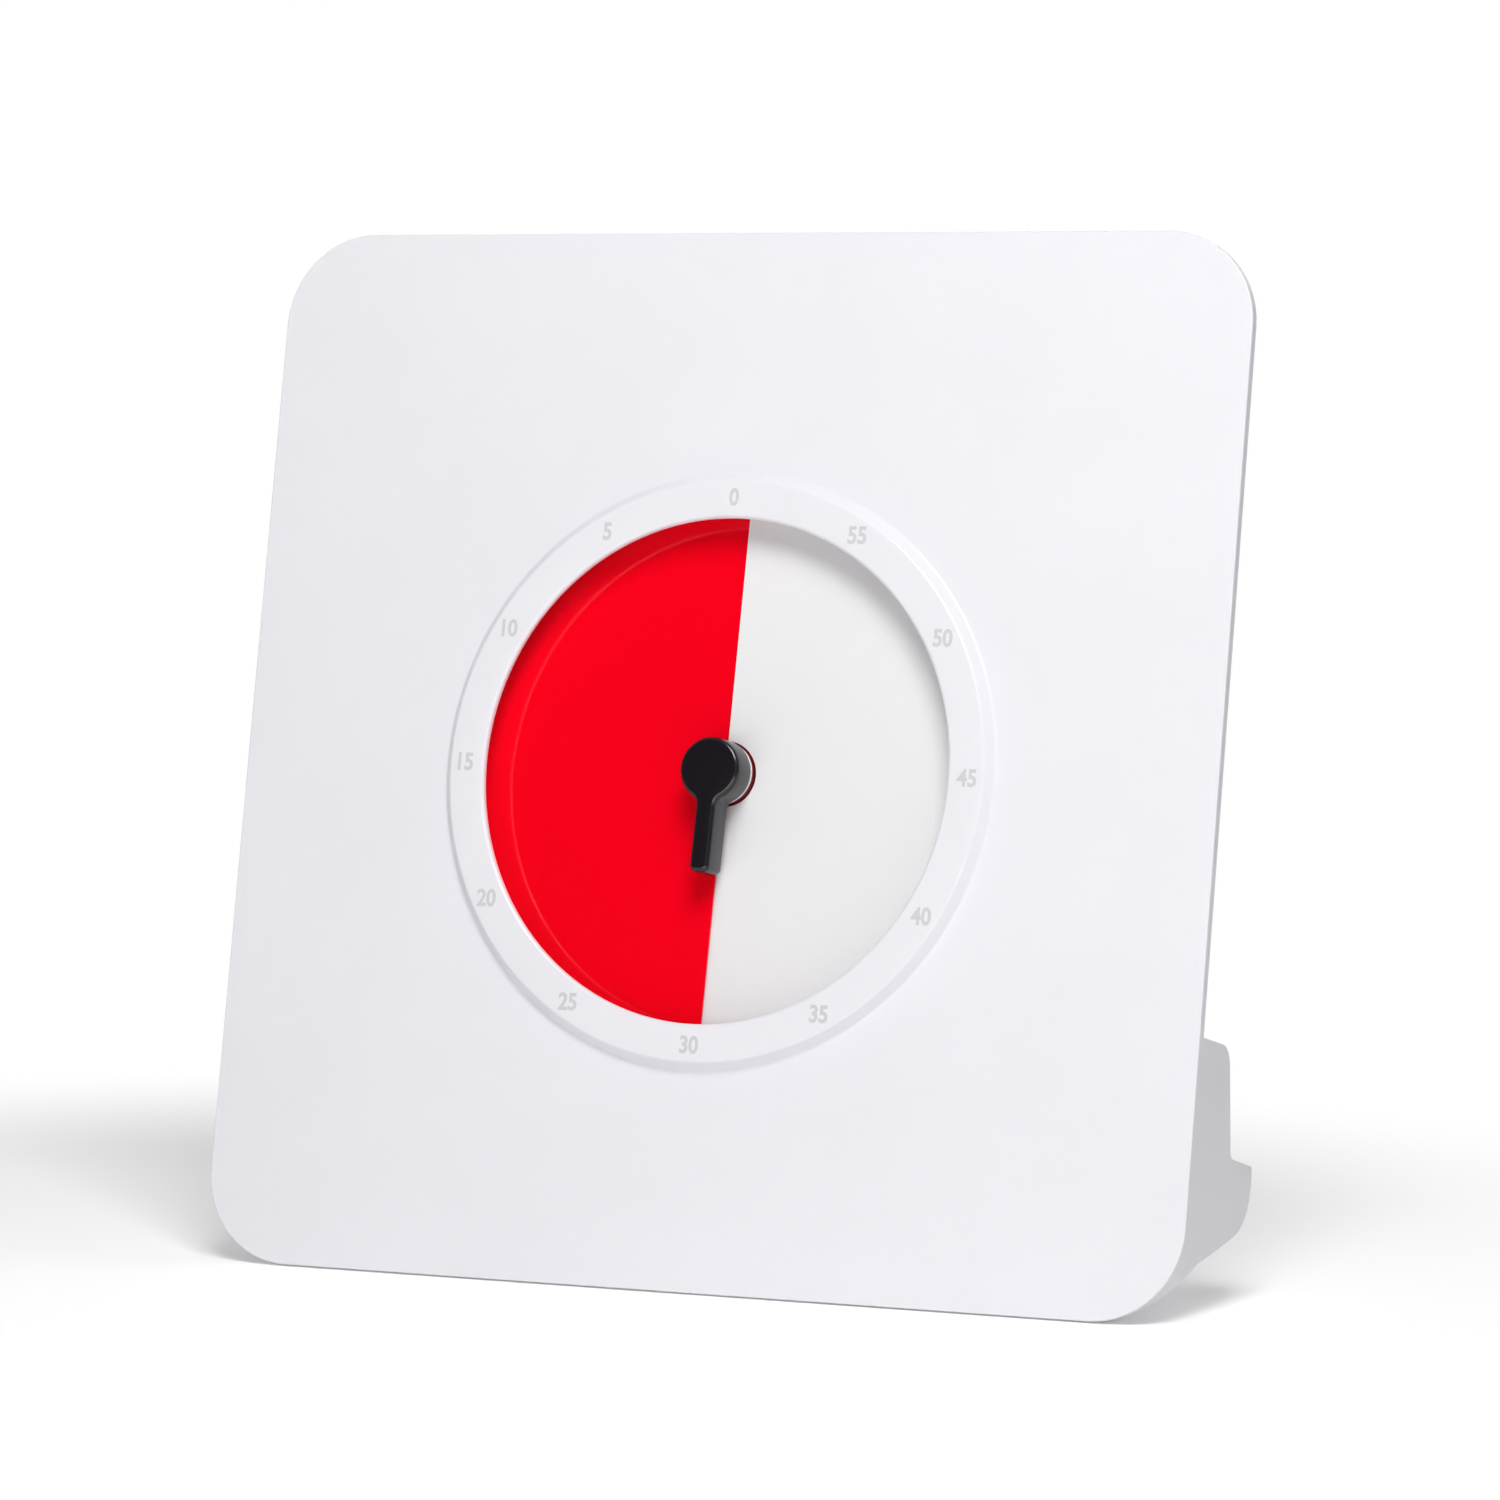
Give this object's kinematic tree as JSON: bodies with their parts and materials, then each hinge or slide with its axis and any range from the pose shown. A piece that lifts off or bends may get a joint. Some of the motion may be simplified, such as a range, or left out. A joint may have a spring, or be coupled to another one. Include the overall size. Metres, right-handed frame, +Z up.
{
  "type": "visual countdown timer",
  "caption": "Large square free-standing visual countdown timer: a leaning panel with a round window whose coloured disc shows the minutes left, set by a centre knob.",
  "frame": {"origin": "centre of the footprint of the whole timer, on the surface it stands on", "axes": "+Z up, the dial faces -Y and leans back 11.24 degrees, +X to the viewer's right"},
  "size_m": [0.432, 0.0885, 0.4245],
  "materials": {
    "white_shell": "satin moulded",
    "dial_white": "matt",
    "signal_red": "gloss",
    "washer_white": "gloss",
    "knob_black": "satin",
    "steel": "plated",
    "brass": "turned",
    "copper": "enamelled wire",
    "works_black": "moulded",
    "gear_plastic": "acetal",
    "cell_sleeve": "shrink sleeve",
    "board_green": "solder mask",
    "control_grey": "moulded",
    "foot_rubber": "matt"
  },
  "bodies": {
    "timer": {"front_panel": "white_shell", "back_panel": "white_shell", "bezel_ring": "white_shell", "stand_shell": "white_shell", "dial_plate": "dial_white", "shaft_bush": "brass", "dial_pan": "white_shell", "pan_screws": "steel", "movement_front": "works_black", "movement_rear": "works_black", "stator": "steel", "coil": "copper", "rear_housing": "white_shell", "housing_screws": "steel", "battery_tray": "works_black", "batteries": "cell_sleeve", "battery_contacts": "steel", "circuit_board": "board_green", "board_parts": "works_black", "speaker": "steel", "volume_pin": "steel", "stand_screws": "steel", "rubber_feet": "foot_rubber"},
    "spindle": {"knob": "knob_black", "shaft": "steel", "centre_wheel": "gear_plastic", "clutch_spring": "steel"},
    "disc": {"red_disc": "signal_red", "clamp_washer": "washer_white"},
    "third_arbor": {"third_wheel": "gear_plastic"},
    "rotor_arbor": {"rotor": "gear_plastic"},
    "door": {"battery_door": "white_shell"},
    "volume": {"volume_wheel": "control_grey"},
    "switch": {"sound_switch": "control_grey"}
  },
  "joints": [
    {"name": "knob_turn", "type": "hinge", "parent": "timer", "child": "spindle", "pos_m": [0, -0.00327, 0.20739], "axis": [0, -0.9808, 0.1949], "range_deg": [-180, 180]},
    {"name": "disc_feed", "type": "slide", "parent": "spindle", "child": "disc", "axis": [0, -0.9808, 0.1949], "range_m": [-0.0015, 0.0015]},
    {"name": "third_turn", "type": "hinge", "parent": "timer", "child": "third_arbor", "pos_m": [0, 0.01294, 0.18276], "axis": [0, -0.9808, 0.1949], "range_deg": [-1080, 1080]},
    {"name": "rotor_turn", "type": "hinge", "parent": "timer", "child": "rotor_arbor", "pos_m": [-0.0168, 0.01294, 0.18276], "axis": [0, -0.9808, 0.1949], "range_deg": [-6480, 6480]},
    {"name": "battery_door_open", "type": "hinge", "parent": "timer", "child": "door", "pos_m": [0.0511, 0.0369, 0.2197], "axis": [1, 0, 0], "range_deg": [0, 100]},
    {"name": "volume_turn", "type": "hinge", "parent": "timer", "child": "volume", "pos_m": [-0.0665, 0.01833, 0.1827], "axis": [0, -0.9808, 0.1949], "range_deg": [-135, 135]},
    {"name": "switch_slide", "type": "slide", "parent": "timer", "child": "switch", "axis": [0, 0.1949, 0.9808], "range_m": [-0.0025, 0.0025]}
  ],
  "couplings": [
    {"joint": "disc_feed", "follows": "knob_turn", "m_per_rad": 0.00047746},
    {"joint": "third_turn", "follows": "knob_turn", "ratio": -6},
    {"joint": "rotor_turn", "follows": "knob_turn", "ratio": 36}
  ]
}
